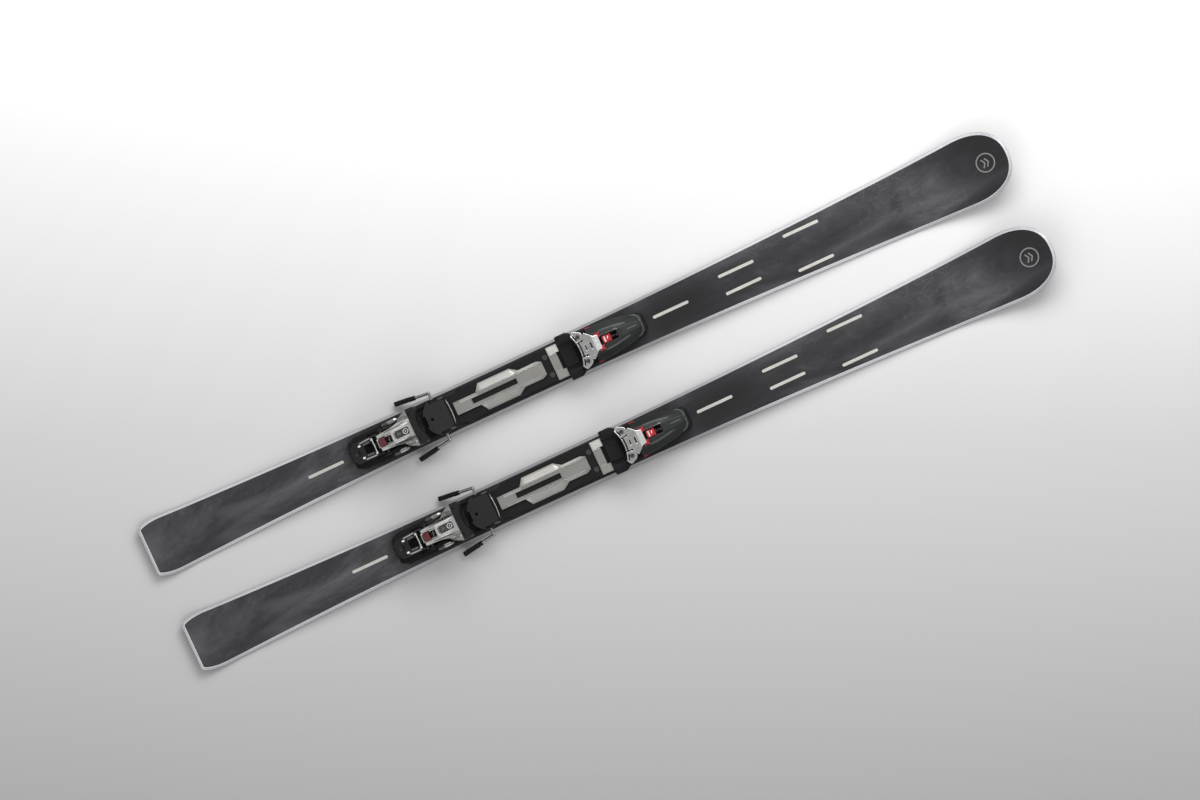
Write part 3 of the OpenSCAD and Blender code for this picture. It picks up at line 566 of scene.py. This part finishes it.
def toe_nose(side):
    """Rim, seam, flutes and window frame of the dark toe housing, and the marks on its indicator."""
    housing = Surface(side, "toe_housing", "toe_base")
    rim = [(-21, 103), (-18.5, 111), (-12, 116), (0, 117.4), (12, 116), (18.5, 111), (21, 103)]
    overlay("toe_rim", housing, rim, 2.6, "rim_grey", "ski", count=40, crown=0.4, ends=0.3)
    overlay("toe_seam", housing, [(0, 88), (0, 108)], 2.2, "rim_grey", "ski", crown=0.3, ends=0.4)
    mirrored("toe_flute", housing, [(19, 38), (17.5, 61), (12, 91)], 3.0, "rim_grey", "ski",
             thick=0.6, lift=0.2, ends=0.2, crown=0.35)
    window = [(-9.2, 38), (-9.2, 71.6), (9.2, 71.6), (9.2, 38)]
    overlay("toe_bezel", Surface(side, "toe_housing"), window, 2.2, "window_black", "ski",
            count=60, thick=1.0, lift=0.35)
    gauge = Surface(side, "toe_indicator")
    overlay("toe_gauge_band", gauge, [(-5.4, 4.25), (5.4, 4.25)], 2.4, "mark_white", "toe_gauge", thick=0.5)
    overlay("toe_gauge_tick", gauge, [(-3.6, 10.8), (1.5, 9.0)], 1.8, "mark_white", "toe_gauge", thick=0.5)


# Middle of the arc-shaped pocket over the boot's toe, which bridge and wings share, in millimetres
LIP_RADIUS = 73.7
LIP_CENTRE_Y = -65.2


def lip_groove(name, surface, start, sweep, width, body):
    """A black strip of painted shadow in the groove along part of the pocket, from a starting angle over a
    sweep, in degrees.
    """
    arc = circle(0, LIP_CENTRE_Y - surface.rear, LIP_RADIUS, start, sweep)
    overlay(name, surface, arc, width, "window_black", body, thick=0.6, lift=0.3)


def toe_castings(side):
    """Dark slots in the silver bridge, and painted shadow in the groove of the boot's lip over bridge and
    wings.
    """
    bridge = Surface(side, "toe_bridge")
    for label, y, half, width in (("rear", 13.7, 4.6, 1.9), ("front", 24.0, 6.0, 2.2)):
        overlay(f"toe_bridge_slot_{label}", bridge, [(-half, y), (half, y)], width, "window_black", "ski",
                thick=0.5, lift=0.35)
    lip_groove("toe_lip_shadow", bridge, 80, 20, 2.3, "ski")
    toward_other_ski = 1 if side == "left" else -1
    for wing, sign in (("inner", toward_other_ski), ("outer", -toward_other_ski)):
        surface = Surface(side, f"toe_wing_{wing}")
        lip_groove(f"wing_lip_shadow_{wing}", surface, 90 - sign * 13.6, -sign * 9.5, 2.0, f"wing_{wing}")


def cover_details(side):
    """Bright lines, sloping shoulders and a slot frame on the covers between toe and heel."""
    cover = Surface(side, "rail_covers")
    mirrored("cover_line", cover, [(10.6, 12), (10.6, 167)], 1.1, "cast_silver", "ski",
             thick=0.5, lift=0.45, count=60, crown=0.3)
    mirrored("cover_wing", cover, [(17.9, 46.1), (17.9, 127)], 11.6, "cover_satin", "ski",
             thick=2.6, lift=0.9, ends=0.1, slope=1.5, count=60, inner=True)
    mirrored("cover_nose", cover, [(13.2, 123), (13.2, 165)], 4.0, "cover_satin", "ski",
             thick=1.6, lift=0.6, ends=0.6, slope=1.0, count=30)
    mirrored("cover_tail", cover, [(7.8, 12), (7.8, 47)], 3.2, "cover_satin", "ski",
             thick=1.2, lift=0.4, ends=0.6, slope=0.6, count=30)
    slot = [(-6.2, 32.8), (6.2, 32.8), (6.2, 123.2), (-6.2, 123.2)]
    overlay("cover_slot_frame", cover, slot, 1.1, "flare_grey", "ski", thick=0.6, lift=0.3, count=120,
            closed=True)
    mirrored("u_shoulder", cover, [(23.4, 193.4), (23.4, 211.6)], 13.6, "cover_satin", "ski",
             thick=1.8, lift=0.8, slope=1.4, count=16)
    mirrored("u_line", cover, [(15.6, 193.4), (15.6, 205.5)], 1.0, "cast_silver", "ski",
             thick=0.6, lift=0.55, crown=0.3, count=12)


def emblem(housing):
    """A dark window with a plain ring, a dash and three short lines, all without letters."""
    overlay("emblem_window", housing, [(0, 36.4), (0, 63.4)], 12.4, "window_black", "heel",
            across=8, lift=0.5, ends=0.9, crown=0.35)
    ring_y = 56.8
    raised = {"lift": 1.05, "thick": 0.5}
    overlay("emblem_ring", housing, circle(0, ring_y, 4.4), 1.1, "mark_white", "heel", count=48, closed=True,
            **raised)
    overlay("emblem_dot", housing, [(-1.5, ring_y), (1.5, ring_y)], 1.2, "mark_white", "heel", ends=0.6,
            **raised)
    for k in range(3):
        y = 42.4 + 2.6 * k
        overlay(f"emblem_tick_{k}", housing, [(-3.4 + k, y), (3.4 - k, y)], 0.8, "mark_grey", "heel",
                lift=0.95, thick=0.5)


def heel_details(side):
    """Ribs, grooves and facets of the heel housing."""
    housing = Surface(side, "heel_housing")
    emblem(housing)
    mirrored("heel_rib", housing, [(10.8, 10), (11.6, 46), (13, 72)], 2.4, "cast_silver", "heel",
             crown=0.7, ends=0.3, count=40)
    mirrored("heel_groove", housing, [(13.9, 18), (14.6, 42), (17, 62)], 1.5, "window_black", "heel",
             thick=0.5, lift=0.2, ends=0.3, count=40)
    mirrored("heel_facet", housing, [(20, 51), (27, 65)], 2.0, "flare_grey", "heel",
             thick=0.6, lift=0.3, ends=0.2, crown=0.4)


def lever_details(side):
    """The bright crossbar and bright silver spots of the heel lever."""
    lever = Surface(side, "heel_lever")
    overlay("lever_crossbar", lever, [(-14.5, 47.8), (0, 48.4), (14.5, 47.8)], 2.4, "cast_silver", "lever",
            crown=0.8, ends=0.7)
    mirrored("lever_arm", lever, [(15.4, 23), (16.6, 47.5)], 2.4, "flare_grey", "lever", crown=0.5, ends=0.2)
    mirrored("lever_end", lever, [(13.2, 45.4), (13.2, 49.4)], 3.6, "cast_silver", "lever",
             crown=0.9, ends=0.5)
    mirrored("lever_spot", lever, [(11.4, 19.6), (11.4, 25.4)], 3.2, "cast_silver", "lever",
             crown=0.6, ends=0.3)
    mirrored("lever_ridge", lever, [(10.4, 29), (11, 43)], 3.4, "rim_grey", "lever", crown=0.6, ends=0.4)


def carriage_details(side):
    """Flares beside the heel housing, ears beside the brake, and the strip along the front edge."""
    carriage = Surface(side, "heel_carriage")
    mirrored("heel_flare", carriage, [(28, 63.5), (28, 95.5)], 6.6, "flare_grey", "carriage",
             thick=1.2, lift=0.5, ends=0.5, crown=0.8, count=40)
    mirrored("carriage_ear", carriage, [(29.4, 175.5), (29.4, 186)], 2.6, "rim_grey", "carriage",
             lift=0.35, crown=0.3)
    front = [(-24, 188.4), (-12, 189.8), (0, 190.3), (12, 189.8), (24, 188.4)]
    overlay("front_strip", carriage, front, 1.9, "cast_silver", "carriage",
            thick=1.0, lift=0.4, count=48, crown=0.6, ends=0.5)


for side in SIDES:
    tip_mark(side)
    toe_nose(side)
    toe_castings(side)
    cover_details(side)
    heel_details(side)
    lever_details(side)
    carriage_details(side)

# --- Floor and light ------------------------------------------------------------------------------

FLOOR_HALF = 6.0
FLOOR_GAP = 0.0006

# Where the floor's painted light falloff goes from its darkest to its palest, measured up the picture from
# its middle
FLOOR_FADE = (-0.75, 0.62)

# Brightness of the surroundings from straight below, 0, to straight above, 1
SKY = ((0.0, 0.05), (0.34, 0.22), (0.56, 0.86), (0.78, 0.9), (0.92, 0.58), (1.0, 0.34))


def floor_with_painted_light():
    """Matt pale floor with painted light falloff, brighter toward the top of the picture."""
    s = Shader("floor")
    s.set(Roughness=0.9, Specular_IOR_Level=0.1)
    toward = s.add("ShaderNodeVectorMath", operation="DOT_PRODUCT")
    s.link(s.place, toward.inputs[0])
    toward.inputs[1].default_value = image_up
    fade = s.ranged(toward.outputs["Value"], *FLOOR_FADE)
    # Painted light: the floor's colour grows from dark grey to near white toward the top of the picture
    painted_falloff = s.ramp(fade, [(0.0, grey(0.40)), (0.5, grey(0.60)), (1.0, grey(0.93))])
    s.plug("Base Color", s.mix(s.ranged(s.noise(3.0), 0.3, 0.7, 0, 0.03), painted_falloff, grey(0.5)))
    return s.material


def add_floor():
    """A plain square under the part, a hair below it."""
    corners = [(x * FLOOR_HALF, y * FLOOR_HALF, 0) for x, y in ((-1, -1), (1, -1), (1, 1), (-1, 1))]
    data = bpy.data.meshes.new("floor")
    data.from_pydata(corners, [], [(0, 1, 2, 3)])
    data.materials.append(floor_with_painted_light())
    floor = bpy.data.objects.new("floor", data)
    floor.location.z = CAD_BOX[0][2] - FLOOR_GAP
    bpy.context.scene.collection.objects.link(floor)


def add_area(name, at, size, power):
    """A rectangular lamp that faces the origin."""
    data = bpy.data.lights.new(name, "AREA")
    data.shape = "RECTANGLE"
    data.size, data.size_y = size
    data.energy = power
    light = bpy.data.objects.new(name, data)
    light.location = at
    light.rotation_euler = Vector(at).to_track_quat("Z", "Y").to_euler()
    bpy.context.scene.collection.objects.link(light)


def add_world():
    """Soft grey surroundings, brightest a little above the horizon."""
    world = bpy.data.worlds.new("studio")
    bpy.context.scene.world = world
    world.use_nodes = True
    tree = world.node_tree
    coords = tree.nodes.new("ShaderNodeTexCoord")
    split = tree.nodes.new("ShaderNodeSeparateXYZ")
    ramp = tree.nodes.new("ShaderNodeValToRGB")
    tree.links.new(coords.outputs["Generated"], split.inputs[0])
    tree.links.new(split.outputs["Z"], ramp.inputs["Fac"])
    tree.links.new(ramp.outputs["Color"], tree.nodes["Background"].inputs["Color"])
    fill_ramp(ramp.color_ramp, [(at, grey(level)) for at, level in SKY])


add_floor()
add_world()
add_area("key", (-2.0, 1.5, 2.6), (3.0, 2.0), 90)
add_area("fill", (2.4, -1.6, 2.2), (2.0, 3.0), 22)
bpy.context.scene.view_settings.view_transform = "Standard"
